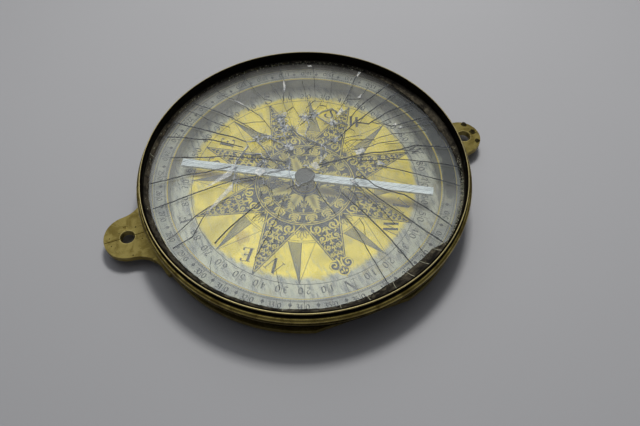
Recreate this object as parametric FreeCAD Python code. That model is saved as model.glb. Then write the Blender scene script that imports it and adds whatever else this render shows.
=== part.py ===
import FreeCAD, Part
import math
import os

# A brass box compass with a fixed dial, a dry-pivoted needle and two drilled lugs.
# Millimetres. Origin: centre of the face it stands on. +Z up, the lugs on +X and -X.
# The dial's north point looks towards -Y.

# ---- Driving dimensions ----

LIP_R = 70.0             # outer radius of the case at its lip
CASE_H = 14.3            # lip above the base plate's top face

BOSS_R = 30.0            # register boss under the base plate
BOSS_H = 4.0
BOSS_EDGE = 0.6
BOSS_SCREWS = 4
BOSS_SCREW_PITCH_R = 22.0

PLATE_T = 2.6            # base plate, in one piece with the lugs
PLATE_R = 70.3
PLATE_FLAT_Y = 67.4      # the plate is cut flat at its north and south sides
RECESS_R = 66.6          # turned recess that takes the dial plate
RECESS_DEPTH = 1.4

LUG_HOLE_X = 79.5
LUG_HOLE_R = 2.8
LUG_HOLE_EDGE = 0.4
LUG_ENDS = {-1: (79.0, 10.5), 1: (77.7, 9.3)}    # side: centre and radius of the rounded end
LUG_HOLLOW_R = 12.0      # hollow between the rounded end and the root
LUG_ROOT_R = 71.6        # the root runs along the case at this radius
LUG_ROOT_DEG = 18.6      # and ends at this angle from the lug's centre line
LUG_ROOT_END_R = 1.3
FIDUCIAL_W = 0.3         # line engraved along each lug
FIDUCIAL_DEPTH = 0.2

PLUG_PLACES = [(-79.5, 4.6, 1.3), (-71.0, -14.3, 0.8)]    # old holes filled with brass: x, y, radius

DIAL_T = 0.8
DIAL_R = 66.4
RING_IN_R = 59.5         # raised degree ring
RING_OUT_R = 66.3
RING_H = 5.9
RING_EDGE = 0.35
RING_SCREWS = 6
RING_SCREW_PITCH_R = 62.9

WALL_IN_R = 67.8         # case wall below the glass
REBATE_R = 68.8          # and above it
WALL_OUT_R = 68.7
FOOT_IN_R = 66.5         # the wall's foot is thicker, so that it covers the plate's flats
FOOT_H = 2.0
LEDGE_H = 6.8            # glass ledge above the base plate's top face

GLASS_T = 2.0
GLASS_R = 68.5
PUTTY_W = 3.6            # putty bead lying on the glass against the wall
PUTTY_H = 2.4

NEEDLE_AZ_DEG = 150.0    # direction of the needle's north end at rest
NEEDLE_DIP_DEG = 1.5     # the north end hangs low by this much
NEEDLE_REACH = 56.0      # pivot to each end
NEEDLE_W = 3.8
NEEDLE_T = 1.0
NEEDLE_Z = 10.4          # underside of the bar at the pivot
NEEDLE_EYE_R = 4.1
CENTRE_LINE_W = 0.25
CENTRE_LINE_DEPTH = 0.12
CAP_R = 4.4
CAP_SKIRT_R = 2.6
CAP_BORE_R = 1.75
CAP_H = 0.95             # cap above the bar
COLLAR_R = 3.8
COLLAR_T = 0.6
JEWEL_R = 1.6
JEWEL_T = 1.1
JEWEL_PIT_R = 0.9
JEWEL_PIT_DEPTH = 0.8
PIVOT_GAP = 0.05

POST_FOOT_R = 4.5
POST_FOOT_H = 1.0
POST_R = 2.0
POST_TOP_Z = 9.0
PIN_R = 0.8
PIN_CONE_H = 2.2

SCREW_R = 1.2
SCREW_HEAD_R = 2.3
SCREW_HEAD_H = 1.1
SCREW_HOLE_R = 1.3
SCREW_SLOT_W = 0.5
SCREW_SLOT_DEPTH = 0.45

# ---- Levels worked out from them ----

PLATE_Z = BOSS_H
PLATE_TOP = PLATE_Z + PLATE_T
RECESS_Z = PLATE_TOP - RECESS_DEPTH
DIAL_TOP = RECESS_Z + DIAL_T
RING_TOP = DIAL_TOP + RING_H
GLASS_Z = PLATE_TOP + LEDGE_H
GLASS_TOP = GLASS_Z + GLASS_T
LIP_TOP = PLATE_TOP + CASE_H
BAR_TOP = NEEDLE_Z + NEEDLE_T
JEWEL_Z = NEEDLE_Z + 0.2
PIVOT_Z = JEWEL_Z + JEWEL_PIT_DEPTH

UP = FreeCAD.Vector(0, 0, 1)


# ---- Helpers ----

def at(x, y, z):
    return FreeCAD.Vector(x, y, z)


def polar(radius, angle_deg, z=0.0):
    angle = math.radians(angle_deg)
    return at(radius * math.cos(angle), radius * math.sin(angle), z)


def disc(radius, z, height, x=0.0, y=0.0):
    return Part.makeCylinder(radius, height, at(x, y, z))


def cone(low_r, high_r, z, height, x=0.0, y=0.0):
    return Part.makeCone(low_r, high_r, height, at(x, y, z))


def tube(inner_r, outer_r, z, height):
    return disc(outer_r, z, height).cut(disc(inner_r, z, height))


def block(x0, x1, y0, y1, z0, z1):
    return Part.makeBox(x1 - x0, y1 - y0, z1 - z0, at(x0, y0, z0))


def on_circle(count, radius, first_deg=0.0):
    """Evenly spaced places on a circle."""
    return [polar(radius, first_deg + 360.0 * i / count) for i in range(count)]


def arc(start, middle, end):
    return Part.Arc(start, middle, end).toShape()


def turned(steps):
    """A solid of revolution about Z.

    Each step is (r, z) for a straight edge to that point, or (r, z, mid_r, mid_z) for an arc.
    """
    points = [at(step[0], 0, step[1]) for step in steps]
    edges = []
    for i, step in enumerate(steps):
        start, end = points[i - 1], points[i]
        if len(step) == 4:
            edges.append(arc(start, at(step[2], 0, step[3]), end))
        else:
            edges.append(Part.LineSegment(start, end).toShape())
    face = Part.Face(Part.Wire(edges))
    return face.revolve(at(0, 0, 0), UP, 360)


def save(name, shape):
    shape.exportStep("parts/" + name + ".step")


# ---- Fasteners ----

def countersunk_screw(place, head_z, tip_z):
    """Slotted screw driven upwards: its head's flat face is at head_z."""
    head = cone(SCREW_HEAD_R, SCREW_R, head_z, SCREW_HEAD_H, place.x, place.y)
    shank = disc(SCREW_R, head_z, tip_z - head_z, place.x, place.y)
    slot = block(place.x - SCREW_HEAD_R, place.x + SCREW_HEAD_R, place.y - SCREW_SLOT_W / 2,
                 place.y + SCREW_SLOT_W / 2, head_z, head_z + SCREW_SLOT_DEPTH)
    return head.fuse(shank).cut(slot).removeSplitter()


def countersunk_hole(place, head_z, end_z):
    seat = cone(SCREW_HEAD_R, SCREW_R, head_z, SCREW_HEAD_H, place.x, place.y)
    return seat.fuse(disc(SCREW_HOLE_R, head_z, end_z - head_z, place.x, place.y))


RING_SCREW_PLACES = on_circle(RING_SCREWS, RING_SCREW_PITCH_R, 30.0)
BOSS_SCREW_PLACES = on_circle(BOSS_SCREWS, BOSS_SCREW_PITCH_R, 45.0)
RING_SCREW_TIP = DIAL_TOP + 0.65 * RING_H


def ring_screws():
    """Six screws that hold the dial plate and the degree ring down, from below."""
    screws = [countersunk_screw(place, PLATE_Z, RING_SCREW_TIP) for place in RING_SCREW_PLACES]
    return Part.makeCompound(screws)


def boss_screws():
    """Four screws that hold the boss to the base plate, from below."""
    screws = [countersunk_screw(place, 0.0, RECESS_Z) for place in BOSS_SCREW_PLACES]
    return Part.makeCompound(screws)


# ---- Base ----

def lug_outline(side):
    """One lug with its root, as a flat face in the plate's lower plane.

    The rounded end runs into a hollow, and the hollow into an arc along the case that
    stops in a small rounded corner.
    """
    end_x, end_r = LUG_ENDS[side]
    to_end = end_r + LUG_HOLLOW_R
    to_axis = LUG_ROOT_R + LUG_HOLLOW_R
    hollow_x = (to_axis ** 2 - to_end ** 2 + end_x ** 2) / (2 * end_x)
    hollow_y = math.sqrt(to_axis ** 2 - hollow_x ** 2)
    hollow = at(hollow_x, hollow_y, PLATE_Z)
    end_centre = at(end_x, 0, PLATE_Z)

    towards_hollow = (hollow - end_centre).normalize()
    leave_end = end_centre + towards_hollow * end_r
    hollow_deg = math.degrees(math.atan2(hollow_y, hollow_x))
    meet_root = polar(LUG_ROOT_R, hollow_deg, PLATE_Z)
    mid_chord = ((leave_end + meet_root) * 0.5 - hollow).normalize()
    hollow_mid = hollow + mid_chord * LUG_HOLLOW_R

    corner = polar(LUG_ROOT_R - LUG_ROOT_END_R, LUG_ROOT_DEG, PLATE_Z)
    root_stop = polar(LUG_ROOT_R, LUG_ROOT_DEG, PLATE_Z)
    root_mid = polar(LUG_ROOT_R, (hollow_deg + LUG_ROOT_DEG) / 2, PLATE_Z)
    across = at(-math.sin(math.radians(LUG_ROOT_DEG)), math.cos(math.radians(LUG_ROOT_DEG)), 0)
    corner_out = corner + (across + (root_stop - corner).normalize()).normalize() * LUG_ROOT_END_R
    corner_end = corner + across * LUG_ROOT_END_R
    tip = at(end_x + end_r, 0, PLATE_Z)
    inside = polar(LUG_ROOT_R - 2 * LUG_ROOT_END_R, LUG_ROOT_DEG, PLATE_Z)

    def mirrored(point):
        return at(point.x, -point.y, point.z)

    upper = [(leave_end, hollow_mid, meet_root), (meet_root, root_mid, root_stop),
             (root_stop, corner_out, corner_end)]
    edges = [arc(mirrored(leave_end), tip, leave_end)]
    for start, middle, end in upper:
        edges.append(arc(start, middle, end))
        edges.append(arc(mirrored(end), mirrored(middle), mirrored(start)))
    edges.append(Part.LineSegment(corner_end, inside).toShape())
    edges.append(Part.LineSegment(inside, mirrored(inside)).toShape())
    edges.append(Part.LineSegment(mirrored(inside), mirrored(corner_end)).toShape())
    wire = Part.Wire(Part.__sortEdges__(edges))
    face = Part.Face(wire)
    if side < 0:
        face = face.mirror(at(0, 0, 0), at(1, 0, 0))
    return face


def lug(side):
    solid = lug_outline(side).extrude(UP * PLATE_T)
    return solid if solid.Volume > 0 else solid.reversed()


def base_plate():
    """Plate with two lugs, flats at north and south, and a recess for the dial plate."""
    plate = disc(PLATE_R, PLATE_Z, PLATE_T)
    reach = PLATE_R + 1
    plate = plate.common(block(-reach, reach, -PLATE_FLAT_Y, PLATE_FLAT_Y, PLATE_Z, PLATE_TOP))
    plate = plate.fuse([lug(-1), lug(1)]).removeSplitter()
    cutters = [disc(RECESS_R, RECESS_Z, RECESS_DEPTH), disc(POST_R, PLATE_Z, PLATE_T)]
    for side, (end_x, end_r) in LUG_ENDS.items():
        hole_x = side * LUG_HOLE_X
        edge_r = LUG_HOLE_R + LUG_HOLE_EDGE
        cutters.append(disc(LUG_HOLE_R, PLATE_Z, PLATE_T, hole_x))
        cutters.append(cone(LUG_HOLE_R, edge_r, PLATE_TOP - LUG_HOLE_EDGE, LUG_HOLE_EDGE, hole_x))
        line_x = sorted((side * PLATE_R, side * (end_x + end_r)))
        cutters.append(block(line_x[0], line_x[1], -FIDUCIAL_W / 2, FIDUCIAL_W / 2,
                             PLATE_TOP - FIDUCIAL_DEPTH, PLATE_TOP))
    for x, y, radius in PLUG_PLACES:
        cutters.append(disc(radius, PLATE_Z, PLATE_T, x, y))
    for place in RING_SCREW_PLACES:
        cutters.append(countersunk_hole(place, PLATE_Z, RECESS_Z))
    for place in BOSS_SCREW_PLACES:
        cutters.append(disc(SCREW_R, PLATE_Z, RECESS_Z - PLATE_Z, place.x, place.y))
    return plate.cut(cutters)


def lug_plugs():
    """Brass plugs that fill two old holes in the left lug, a hair below its face."""
    sunk = 0.08
    plugs = [disc(radius, PLATE_Z, PLATE_T - sunk, x, y) for x, y, radius in PLUG_PLACES]
    return Part.makeCompound(plugs)


def base_boss():
    """Round boss that carries the plate and registers it in its seat."""
    boss = turned([(0, 0), (BOSS_R - BOSS_EDGE, 0), (BOSS_R, BOSS_EDGE), (BOSS_R, BOSS_H), (0, BOSS_H)])
    return boss.cut([countersunk_hole(place, 0.0, BOSS_H) for place in BOSS_SCREW_PLACES])


# ---- Case, dial and glass ----

def case_ring():
    """Turned wall: foot, hollow, fillet, bead, groove and thin lip, with a ledge for the glass."""
    fillet_z = LIP_TOP - 7.2
    fillet_r = LIP_R + 1.4
    bead_z = LIP_TOP - 4.0
    bead_r = 1.2
    bead_centre_r = LIP_R + 0.6
    groove_r = LIP_R - 0.3
    lip_h = 0.9
    lip_w = 0.8
    return turned([
        (FOOT_IN_R, PLATE_TOP + FOOT_H),
        (FOOT_IN_R, PLATE_TOP),
        (WALL_OUT_R, PLATE_TOP),
        (WALL_OUT_R, fillet_z - 2.4),
        (fillet_r, fillet_z, WALL_OUT_R + 0.6, fillet_z - 0.7),
        (fillet_r, fillet_z + 0.9),
        (bead_centre_r, fillet_z + 1.3),
        (bead_centre_r, bead_z - bead_r),
        (bead_centre_r, bead_z + bead_r, bead_centre_r + bead_r, bead_z),
        (groove_r, bead_z + bead_r + 0.9, groove_r + 0.25, bead_z + bead_r + 0.25),
        (LIP_R, LIP_TOP - lip_h),
        (LIP_R, LIP_TOP - 0.2),
        (LIP_R - 0.2, LIP_TOP, LIP_R - 0.06, LIP_TOP - 0.06),
        (LIP_R - lip_w, LIP_TOP),
        (REBATE_R, LIP_TOP - 0.4),
        (REBATE_R, GLASS_Z),
        (WALL_IN_R, GLASS_Z),
        (WALL_IN_R, PLATE_TOP + FOOT_H),
    ])


def dial_plate():
    plate = tube(POST_R, DIAL_R, RECESS_Z, DIAL_T)
    holes = [disc(SCREW_HOLE_R, RECESS_Z, DIAL_T, place.x, place.y) for place in RING_SCREW_PLACES]
    return plate.cut(holes)


def degree_ring():
    """Raised ring, divided on its top face, with its inner top edge broken."""
    ring = turned([
        (RING_IN_R, DIAL_TOP),
        (RING_OUT_R, DIAL_TOP),
        (RING_OUT_R, RING_TOP - 0.2),
        (RING_OUT_R - 0.2, RING_TOP),
        (RING_IN_R + RING_EDGE, RING_TOP),
        (RING_IN_R, RING_TOP - RING_EDGE),
    ])
    depth = RING_SCREW_TIP - DIAL_TOP
    holes = [disc(SCREW_R, DIAL_TOP, depth, place.x, place.y) for place in RING_SCREW_PLACES]
    return ring.cut(holes)


def glass_pane():
    edge = 0.25
    return turned([(0, GLASS_Z), (GLASS_R, GLASS_Z), (GLASS_R, GLASS_TOP - edge),
                   (GLASS_R - edge, GLASS_TOP), (0, GLASS_TOP)])


def glass_putty():
    """Hollow-faced bead of putty in the corner between the glass and the wall."""
    inner = REBATE_R - PUTTY_W
    top = GLASS_TOP + PUTTY_H
    return turned([
        (REBATE_R, GLASS_TOP),
        (REBATE_R, top),
        (inner, GLASS_TOP + 0.35, REBATE_R - 0.42 * PUTTY_W, GLASS_TOP + 0.34 * PUTTY_H),
        (inner, GLASS_TOP),
    ])


# ---- Pivot ----

def pivot_post():
    """Brass post with a foot on the dial, riveted through the base plate."""
    bore_z = PLATE_Z + 1.0
    post = turned([
        (0, PLATE_Z),
        (POST_R, PLATE_Z),
        (POST_R, DIAL_TOP),
        (POST_FOOT_R, DIAL_TOP),
        (POST_FOOT_R, DIAL_TOP + 0.5 * POST_FOOT_H),
        (POST_FOOT_R - 0.5, DIAL_TOP + POST_FOOT_H),
        (POST_R, DIAL_TOP + POST_FOOT_H),
        (PIN_R + 0.5, POST_TOP_Z),
        (0, POST_TOP_Z),
    ])
    return post.cut(disc(PIN_R, bore_z, POST_TOP_Z - bore_z))


def pivot_pin():
    tip_z = PIVOT_Z - PIVOT_GAP
    foot_z = PLATE_Z + 1.0
    return turned([(0, foot_z), (PIN_R, foot_z), (PIN_R, tip_z - PIN_CONE_H), (0, tip_z)])


# ---- Needle, along +X and level until it is turned to its place ----

def placed(shape):
    """Dips the needle about its point and turns it to its resting direction."""
    shape = shape.copy()
    shape.rotate(at(0, 0, PIVOT_Z), at(0, 1, 0), NEEDLE_DIP_DEG)
    shape.rotate(at(0, 0, PIVOT_Z), UP, NEEDLE_AZ_DEG)
    return shape


def needle_bar():
    """Flat steel bar with square ends, an eye for the cap and a line scribed along it."""
    half = NEEDLE_W / 2
    line = CENTRE_LINE_W / 2
    bar = block(-NEEDLE_REACH, NEEDLE_REACH, -half, half, NEEDLE_Z, BAR_TOP)
    bar = bar.fuse(disc(NEEDLE_EYE_R, NEEDLE_Z, NEEDLE_T)).removeSplitter()
    groove = block(-NEEDLE_REACH, NEEDLE_REACH, -line, line, BAR_TOP - CENTRE_LINE_DEPTH, BAR_TOP)
    return placed(bar.cut([groove, disc(CAP_SKIRT_R, NEEDLE_Z, NEEDLE_T)]))


def needle_cap():
    """Turned cap: a low dome on the bar and a skirt down through its eye, bored for the jewel."""
    top = BAR_TOP + CAP_H
    flat_r = 0.5
    foot = NEEDLE_Z - COLLAR_T
    jewel_top = JEWEL_Z + JEWEL_T
    return placed(turned([
        (CAP_BORE_R, foot),
        (CAP_SKIRT_R, foot),
        (CAP_SKIRT_R, BAR_TOP),
        (CAP_R, BAR_TOP),
        (CAP_R, BAR_TOP + 0.3),
        (flat_r, top, 0.6 * CAP_R, top - 0.18),
        (0, top),
        (0, jewel_top),
        (JEWEL_R, jewel_top),
        (JEWEL_R, JEWEL_Z),
        (CAP_BORE_R, JEWEL_Z),
    ]))


def cap_collar():
    return placed(tube(CAP_SKIRT_R, COLLAR_R, NEEDLE_Z - COLLAR_T, COLLAR_T))


def cap_jewel():
    """Agate with a cone-shaped pit that sits on the pivot."""
    return placed(turned([
        (JEWEL_PIT_R, JEWEL_Z),
        (JEWEL_R, JEWEL_Z),
        (JEWEL_R, JEWEL_Z + JEWEL_T),
        (0, JEWEL_Z + JEWEL_T),
        (0, JEWEL_Z + JEWEL_PIT_DEPTH),
    ]))


PARTS = [base_plate, lug_plugs, base_boss, boss_screws, case_ring, dial_plate, degree_ring, ring_screws,
         glass_pane, glass_putty, pivot_post, pivot_pin, needle_bar, needle_cap, cap_collar, cap_jewel]

os.makedirs("parts", exist_ok=True)
for make in PARTS:
    part = make()
    save(make.__name__, part)
    box = part.BoundBox
    print("%-14s valid=%s solids=%d volume=%.1f  x %.1f..%.1f  y %.1f..%.1f  z %.2f..%.2f" % (
        make.__name__, part.isValid(), len(part.Solids), part.Volume,
        box.XMin, box.XMax, box.YMin, box.YMax, box.ZMin, box.ZMax))
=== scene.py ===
import math
import random

import bmesh
import bpy
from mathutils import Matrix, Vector


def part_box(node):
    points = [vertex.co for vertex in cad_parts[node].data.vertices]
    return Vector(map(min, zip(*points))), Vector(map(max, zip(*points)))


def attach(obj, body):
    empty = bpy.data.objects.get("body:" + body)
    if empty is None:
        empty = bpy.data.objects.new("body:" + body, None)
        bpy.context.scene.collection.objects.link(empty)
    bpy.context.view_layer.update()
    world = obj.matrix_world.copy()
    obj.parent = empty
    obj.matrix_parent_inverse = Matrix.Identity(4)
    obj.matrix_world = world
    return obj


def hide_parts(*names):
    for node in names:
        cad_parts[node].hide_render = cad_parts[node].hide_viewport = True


# A brass box compass: a fixed engraved dial, a raised degree ring, a dry-pivoted needle
# and a cracked glass bedded in putty. Lengths are in millimetres, angles in degrees,
# and directions are counter-clockwise from +X. The dial's north looks towards -Y, at 270.

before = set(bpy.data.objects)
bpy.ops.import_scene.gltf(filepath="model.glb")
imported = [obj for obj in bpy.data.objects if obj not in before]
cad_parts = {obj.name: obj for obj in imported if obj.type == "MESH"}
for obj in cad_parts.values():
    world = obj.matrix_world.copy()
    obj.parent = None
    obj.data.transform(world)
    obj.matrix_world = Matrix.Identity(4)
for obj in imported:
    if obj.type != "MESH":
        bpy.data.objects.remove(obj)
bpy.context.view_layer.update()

MM = 0.001


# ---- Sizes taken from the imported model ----

def highest(node):
    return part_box(node)[1] / MM


PLATE_TOP = highest("base_plate").z
DIAL_TOP = highest("dial_plate").z
RING_TOP = highest("degree_ring").z
RING_OUT_R = highest("degree_ring").x
GLASS_TOP = highest("glass_pane").z
LIP_TOP = highest("case_ring").z
PUTTY_OUT_R = highest("glass_putty").x

RING_IN_R = 59.5
DUST_OUT_R = 67.7        # dust fills the gap from the ring to here, just short of the wall
LIP_IN_R = 69.6          # inner face of the case above the glass
LUG_HOLE_X = 79.5
LUG_HOLE_R = 2.8
CIRCLE_R = 50.4          # circle at the tips of the star
VALLEY_R = 22.3          # where neighbouring points of the star meet
TIP_R = 51.0
ROOT_U = VALLEY_R * math.cos(math.radians(22.5))    # the same place along a point's own axis
FLEUR_U = 41.0           # the north point stops here, and its fleur begins
HALF_BASE_R = 31.0       # base of the narrow half-points
HALF_TIP_R = 50.2
HALF_SPREAD = 10.8       # half-width of that base, in degrees
CUT = 0.2                # usual width of a cut line
NORTH = 270.0
NEEDLE_AZ = 150.0        # the way that the needle points at rest


# ---- Points and paths ----

def polar(radius, azimuth):
    angle = math.radians(azimuth)
    return (radius * math.cos(angle), radius * math.sin(angle))


def turned(points, azimuth):
    """Points given along and across a direction, turned to that direction."""
    angle = math.radians(azimuth)
    c, s = math.cos(angle), math.sin(angle)
    return [(u * c - v * s, u * s + v * c) for u, v in points]


def along(u, v, azimuth):
    """One point given along and across a direction."""
    return turned([(u, v)], azimuth)[0]


def placed(points, start, azimuth):
    """The same for a path that begins at a start."""
    return [(start[0] + x, start[1] + y) for x, y in turned(points, azimuth)]


def between(a, b, share):
    return tuple(p + (q - p) * share for p, q in zip(a, b))


def smooth(points, steps=4):
    """A rounded path through the points."""
    if len(points) < 3:
        return list(points)
    ends = [between(points[1], points[0], 2.0)] + list(points) + [between(points[-2], points[-1], 2.0)]
    path = []
    for i in range(1, len(ends) - 2):
        p0, p1, p2, p3 = ends[i - 1:i + 3]
        for k in range(steps):
            t = k / steps
            path.append(tuple(
                0.5 * (2 * b + (c - a) * t + (2 * a - 5 * b + 4 * c - d) * t * t
                       + (3 * b - a - 3 * c + d) * t ** 3)
                for a, b, c, d in zip(p0, p1, p2, p3)))
    return path + [points[-1]]


def beside(path, widths):
    """The two edges of a ribbon along a path."""
    left, right = [], []
    for i, (x, y) in enumerate(path):
        x0, y0 = path[max(i - 1, 0)]
        x1, y1 = path[min(i + 1, len(path) - 1)]
        length = math.hypot(x1 - x0, y1 - y0) or 1.0
        across = (-(y1 - y0) / length, (x1 - x0) / length)
        half = widths[i] / 2
        left.append((x + across[0] * half, y + across[1] * half))
        right.append((x - across[0] * half, y - across[1] * half))
    return left, right


class Solid:
    """Closed shapes gathered into one piece of the object."""

    def __init__(self, name, low=0.0, high=0.0):
        self.name = name
        self.low = low
        self.high = high
        self.points = []
        self.faces = []

    def loft(self, sections, closed=False):
        """Skins rings of points that have the same count, and caps the ends."""
        first = len(self.points)
        count = len(sections[0])
        for section in sections:
            self.points.extend(section)
        rings = len(sections)
        for i in range(rings if closed else rings - 1):
            a = first + i * count
            b = first + (i + 1) % rings * count
            for k in range(count):
                n = (k + 1) % count
                self.faces.append((a + k, a + n, b + n, b + k))
        if not closed:
            self.faces.append(tuple(range(first + count - 1, first - 1, -1)))
            last = first + (rings - 1) * count
            self.faces.append(tuple(range(last, last + count)))

    def band(self, left, right, closed=False):
        """A flat sheet between two edges, from self.low to self.high."""
        low, high = self.low, self.high
        self.loft([[(*a, low), (*b, low), (*b, high), (*a, high)] for a, b in zip(left, right)], closed)

    def ribbon(self, path, widths):
        if not isinstance(widths, (list, tuple)):
            widths = [widths] * len(path)
        self.band(*beside(path, widths))

    def line(self, start, end, width):
        self.ribbon([start, end], width)

    def circle(self, radius, width, start=0.0, end=360.0, step=2.0):
        count = max(2, round((end - start) / step))
        whole = end - start >= 360.0
        turns = [start + (end - start) * i / count for i in range(count if whole else count + 1)]
        self.band([polar(radius + width / 2, a) for a in turns],
                  [polar(radius - width / 2, a) for a in turns], whole)

    def dot(self, x, y, radius, sides=10):
        turns = [math.tau * k / sides for k in range(sides)]
        self.patch([(x + radius * math.cos(turn), y + radius * math.sin(turn)) for turn in turns])

    def patch(self, outline):
        """A flat sheet with a convex outline."""
        self.loft([[(*p, self.low) for p in outline], [(*p, self.high) for p in outline]])

    def fin(self, path, thickness, low, high, lean):
        """An upright fin along a path, its foot moved sideways by lean."""
        left, right = beside(path, [thickness] * len(path))
        feet = beside(path, [2 * abs(lean)] * len(path))[0 if lean > 0 else 1]
        sections = []
        for place, foot, a, b in zip(path, feet, left, right):
            dx, dy = foot[0] - place[0], foot[1] - place[1]
            sections.append([(a[0] + dx, a[1] + dy, low), (b[0] + dx, b[1] + dy, low),
                             (*b, high), (*a, high)])
        self.loft(sections)

    def piece(self, finish, body, flat=True):
        mesh = bpy.data.meshes.new(self.name)
        mesh.from_pydata([tuple(c * MM for c in p) for p in self.points], [], self.faces)
        mesh.validate()
        work = bmesh.new()
        work.from_mesh(mesh)
        bmesh.ops.recalc_face_normals(work, faces=work.faces)
        work.to_mesh(mesh)
        work.free()
        if not flat:
            mesh.shade_smooth()
        thing = bpy.data.objects.new(self.name, mesh)
        bpy.context.scene.collection.objects.link(thing)
        mesh.materials.append(finish)
        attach(thing, body)
        return thing


# ---- Shader sums ----

class Flow:
    """One output of a node. Sums of flows add Math nodes."""

    def __init__(self, finish, socket):
        self.finish = finish
        self.socket = socket

    def maths(self, operation, *values, clamp=False):
        settings = {"operation": operation, "use_clamp": clamp}
        return self.finish.add("ShaderNodeMath", settings, dict(enumerate(values)))

    def __add__(self, other):
        return self.maths("ADD", self, other)

    __radd__ = __add__

    def __sub__(self, other):
        return self.maths("SUBTRACT", self, other)

    def __rsub__(self, other):
        return self.maths("SUBTRACT", other, self)

    def __mul__(self, other):
        return self.maths("MULTIPLY", self, other)

    __rmul__ = __mul__

    def __truediv__(self, other):
        return self.maths("DIVIDE", self, other)

    def __pow__(self, other):
        return self.maths("POWER", self, other)

    def clamped(self):
        return self.maths("ADD", self, 0.0, clamp=True)

    def rise(self, start, end):
        """0 below start and 1 above end, with a soft change between."""
        low, high = min(start, end), max(start, end)
        ends = (0.0, 1.0) if start < end else (1.0, 0.0)
        return self.finish.add("ShaderNodeMapRange", {"interpolation_type": "SMOOTHSTEP"},
                               {"Value": self, "From Min": low, "From Max": high,
                                "To Min": ends[0], "To Max": ends[1]})


class Nodes:
    """A node tree while it is being put together."""

    def __init__(self, tree):
        self.tree = tree
        self.tree.nodes.clear()

    def add(self, kind, settings=None, values=None, out=0):
        """Makes a node, sets it up, feeds its sockets, and returns one output as a Flow."""
        node = self.tree.nodes.new(kind)
        for name, value in (settings or {}).items():
            setattr(node, name, value)
        for name, value in (values or {}).items():
            if isinstance(value, Flow):
                self.tree.links.new(value.socket, node.inputs[name])
            else:
                node.inputs[name].default_value = value
        return Flow(self, node.outputs[out]) if node.outputs else None

    def mix(self, share, a, b):
        """Colour a where share is 0 and colour b where it is 1."""
        node = self.add("ShaderNodeMix", {"data_type": "RGBA"}).socket.node
        for socket, value in ((node.inputs[0], share), (node.inputs[6], a), (node.inputs[7], b)):
            if isinstance(value, Flow):
                self.tree.links.new(value.socket, socket)
            else:
                socket.default_value = value
        return Flow(self, node.outputs[2])


def distance(x, y):
    return (x * x + y * y) ** 0.5


class Finish(Nodes):
    """A material while it is being put together."""

    def __init__(self, name):
        self.material = bpy.data.materials.new(name)
        self.material.use_nodes = True
        super().__init__(self.material.node_tree)

    def place(self):
        """The piece's own coordinates, in millimetres."""
        spot = self.add("ShaderNodeTexCoord", out="Object")
        return self.add("ShaderNodeVectorMath", {"operation": "SCALE"}, {0: spot, "Scale": 1 / MM})

    def split(self, vector):
        """The three parts of a place, and its distance from the compass's axis."""
        node = self.add("ShaderNodeSeparateXYZ", None, {0: vector}).socket.node
        x, y, z = [Flow(self, socket) for socket in node.outputs]
        return x, y, z, distance(x, y)

    def stretched(self, vector, scale, turn=0.0):
        return self.add("ShaderNodeMapping", {"vector_type": "POINT"},
                        {"Vector": vector, "Rotation": (0, 0, math.radians(turn)), "Scale": scale})

    def noise(self, vector, scale, detail=3.0, rough=0.55, warp=0.0):
        return self.add("ShaderNodeTexNoise", None,
                        {"Vector": vector, "Scale": scale, "Detail": detail, "Roughness": rough,
                         "Distortion": warp})

    def bump(self, height, strength, distance=0.1):
        return self.add("ShaderNodeBump", None,
                        {"Height": height, "Strength": strength, "Distance": distance * MM})

    def metal(self, colour, rough, metallic=1.0, normal=None, **more):
        values = {"Base Color": colour, "Roughness": rough, "Metallic": metallic}
        if normal is not None:
            values["Normal"] = normal
        values.update({name.replace("_", " "): value for name, value in more.items()})
        return self.add("ShaderNodeBsdfPrincipled", None, values)

    def done(self, shader):
        self.add("ShaderNodeOutputMaterial", None, {"Surface": shader})
        return self.material


def new_finish(name):
    """A material to build, and its place flow."""
    finish = Finish(name)
    return finish, finish.place()


# ---- Finishes ----

# Pale brass for the painted highlight on the lip's top edge.
BRASS_LIP_HIGHLIGHT = (0.80, 0.68, 0.34, 1)
BRASS_LIGHT = (0.42, 0.335, 0.10, 1)
BRASS_DEEP = (0.17, 0.125, 0.032, 1)
BRASS_DARK = (0.010, 0.008, 0.005, 1)
PLATE_BRASS = (0.36, 0.29, 0.09, 1)
PLATE_BRASS_DEEP = (0.23, 0.175, 0.045, 1)
PLATE_BRASS_SCUFFED = (0.42, 0.37, 0.18, 1)
LUG_HOLE_RIM = (0.62, 0.52, 0.20, 1)
RING_EDGE_BRASS = (0.95, 0.74, 0.16, 1)
GILT = (0.86, 0.65, 0.05, 1)
GILT_DEEP = (0.62, 0.47, 0.04, 1)
GILT_RUBBED = (0.85, 0.76, 0.34, 1)
GILT_WORN = (0.40, 0.37, 0.22, 1)
SCROLL_GILT_SOFT = (0.68, 0.54, 0.07, 1)
SCROLL_GILT_WORN = (0.30, 0.28, 0.17, 1)
BROWN_STAIN = (0.34, 0.20, 0.03, 1)
SILVERED = (0.47, 0.45, 0.34, 1)
SILVER_DULL = (0.17, 0.175, 0.165, 1)
SILVER_GREYED = (0.27, 0.275, 0.255, 1)
SILVER_YELLOWED = (0.34, 0.28, 0.12, 1)
SILVER_STAINED = (0.30, 0.20, 0.04, 1)
GROUND = (0.034, 0.038, 0.041, 1)
GROUND_RUBBED = (0.085, 0.088, 0.082, 1)
INK = (0.02, 0.022, 0.025, 1)
INK_RUBBED = (0.22, 0.22, 0.20, 1)
HATCHING = (0.17, 0.18, 0.15, 1)
HATCHING_RUBBED = (0.30, 0.30, 0.24, 1)
NOTCH = (0.10, 0.10, 0.09, 1)
NOTCH_RUBBED = (0.25, 0.23, 0.17, 1)
RING_DUST = (0.22, 0.22, 0.20, 1)
RING_DUST_BROWN = (0.12, 0.115, 0.09, 1)
# Painted shadow of the case wall on the ring.
WALL_SHADOW_BLACK = (0.020, 0.020, 0.014, 1)
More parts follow.
